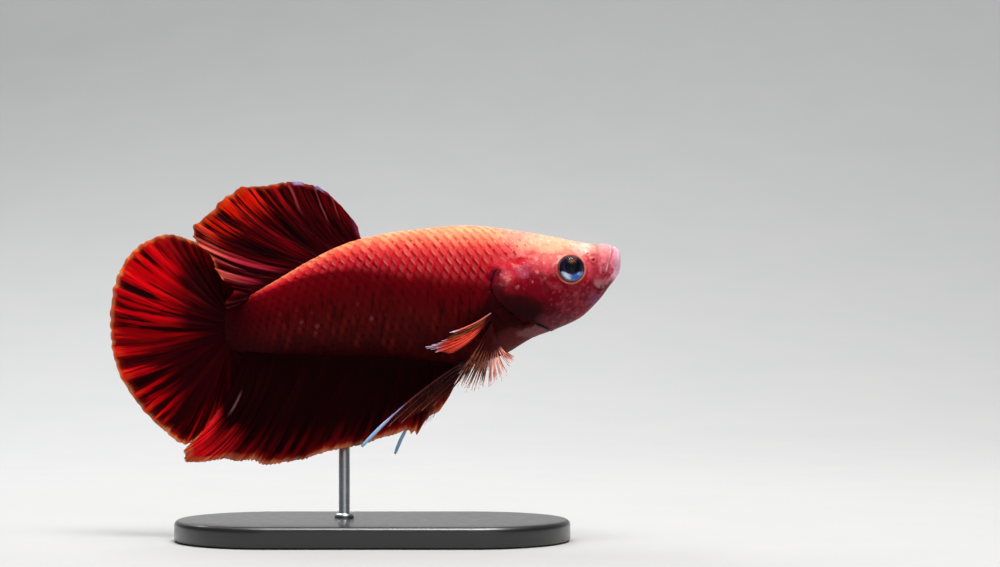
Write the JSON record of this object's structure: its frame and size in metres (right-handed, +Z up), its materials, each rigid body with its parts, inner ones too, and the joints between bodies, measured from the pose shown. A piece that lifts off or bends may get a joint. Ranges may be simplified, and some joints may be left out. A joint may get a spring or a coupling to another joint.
{
  "type": "betta fish",
  "caption": "Red short-finned halfmoon betta fish, swimming nose-up with spread fins, as a still life-size model held over a flat base by one rod",
  "frame": {"origin": "middle of the underside of the stand's base", "axes": "+X to the fish's snout, +Y to its left, +Z up"},
  "size_m": [0.0602, 0.023, 0.0418],
  "materials": {
    "scaled_skin": "wet-looking overlapping scales, coral on the back and deep red on the flanks",
    "head_skin": "smooth wet skin, salmon above and crimson on the cheeks",
    "lip_skin": "smooth wet skin, pink",
    "eye": "clear cornea over a dark blue iris with a silver crescent",
    "fin": "thin pleated membrane on branching rays, golden at the margin",
    "pectoral_fin": "sheer membrane on peach and cream rays",
    "pelvic_fin": "narrow red rays with pale blue-white tips",
    "stand_lacquer": "satin black lacquer",
    "stand_steel": "satin"
  },
  "bodies": {
    "root": {"head": "head_skin", "upper_jaw": "lip_skin", "lower_jaw": "lip_skin", "gill_cover_right": "head_skin", "gill_cover_left": "head_skin", "eye_right": "eye", "eye_left": "eye", "trunk": "scaled_skin", "tail_stem": "scaled_skin", "dorsal_fin": "fin", "caudal_fin": "fin", "anal_fin": "fin", "pectoral_fin_right": "pectoral_fin", "pectoral_fin_left": "pectoral_fin", "pelvic_fin_right": "pelvic_fin", "pelvic_fin_left": "pelvic_fin", "stand_base": "stand_lacquer", "stand_rod": "stand_steel"}
  },
  "joints": []
}
